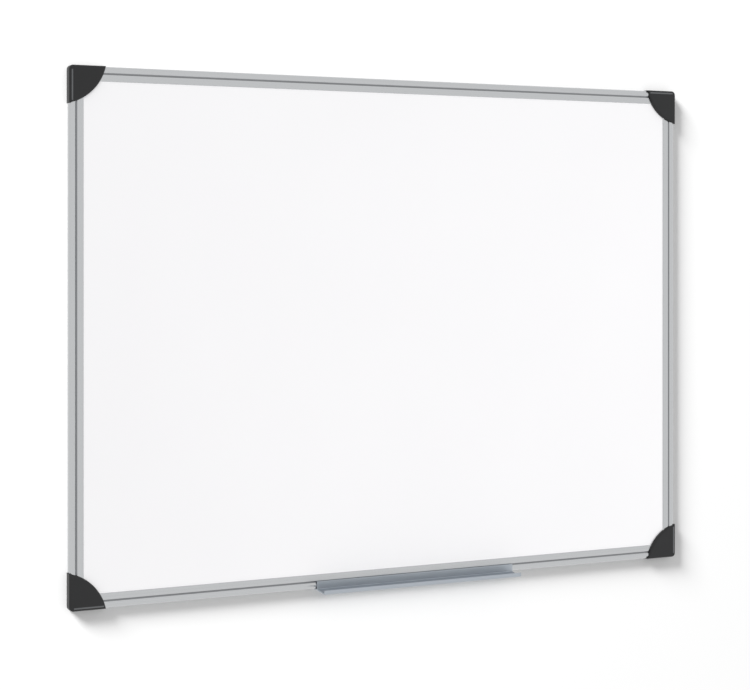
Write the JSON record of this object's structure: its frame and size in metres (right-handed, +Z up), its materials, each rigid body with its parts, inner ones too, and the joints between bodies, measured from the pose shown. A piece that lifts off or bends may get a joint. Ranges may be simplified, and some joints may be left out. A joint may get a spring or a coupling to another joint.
{
  "type": "magnetic whiteboard",
  "caption": "Wall-hung magnetic whiteboard: white steel sheet in a slim aluminium frame with black rounded corner covers and a clip-on pen tray.",
  "frame": {"origin": "point on the wall plane behind the middle of the board, where the backs of the corner pieces touch the wall", "axes": "+X to the right along the board, +Y into the wall, +Z up; the writing side faces -Y"},
  "size_m": [0.8, 0.0328, 0.6025],
  "materials": {
    "white_lacquer": "glossy baked white lacquer on steel sheet, smooth, faint orange peel",
    "hardboard": "raw pressed wood fibre",
    "galvanised_steel": "hot-dip zinc with a soft spangle",
    "rail_aluminium": "satin natural anodised extrusion with fine lengthwise die lines",
    "tray_aluminium": "matte blue-grey anodised extrusion",
    "black_plastic": "satin black moulded plastic with a fine spark-eroded texture",
    "zinc_screw": "bright zinc plate"
  },
  "bodies": {
    "board": {"writing_sheet": "white_lacquer", "core_board": "hardboard", "backing_sheet": "galvanised_steel", "top_rail": "rail_aluminium", "bottom_rail": "rail_aluminium", "left_rail": "rail_aluminium", "right_rail": "rail_aluminium", "corner_base_top_left": "black_plastic", "corner_base_top_right": "black_plastic", "corner_base_bottom_left": "black_plastic", "corner_base_bottom_right": "black_plastic", "rail_screw_top_left_1": "zinc_screw", "rail_screw_top_left_2": "zinc_screw", "rail_screw_top_right_1": "zinc_screw", "rail_screw_top_right_2": "zinc_screw", "rail_screw_bottom_left_1": "zinc_screw", "rail_screw_bottom_left_2": "zinc_screw", "rail_screw_bottom_right_1": "zinc_screw", "rail_screw_bottom_right_2": "zinc_screw"},
    "tray": {"pen_tray": "tray_aluminium"},
    "cover_top_left": {"corner_cover_top_left": "black_plastic"},
    "cover_top_right": {"corner_cover_top_right": "black_plastic"},
    "cover_bottom_left": {"corner_cover_bottom_left": "black_plastic"},
    "cover_bottom_right": {"corner_cover_bottom_right": "black_plastic"}
  },
  "joints": [
    {"name": "tray_slide", "type": "slide", "parent": "board", "child": "tray", "axis": [1, 0, 0], "range_m": [-0.2535, 0.1995]},
    {"name": "cover_top_left_pull", "type": "slide", "parent": "board", "child": "cover_top_left", "axis": [0, -1, 0], "range_m": [0, 0.02]},
    {"name": "cover_top_right_pull", "type": "slide", "parent": "board", "child": "cover_top_right", "axis": [0, -1, 0], "range_m": [0, 0.02]},
    {"name": "cover_bottom_left_pull", "type": "slide", "parent": "board", "child": "cover_bottom_left", "axis": [0, -1, 0], "range_m": [0, 0.02]},
    {"name": "cover_bottom_right_pull", "type": "slide", "parent": "board", "child": "cover_bottom_right", "axis": [0, -1, 0], "range_m": [0, 0.02]}
  ]
}
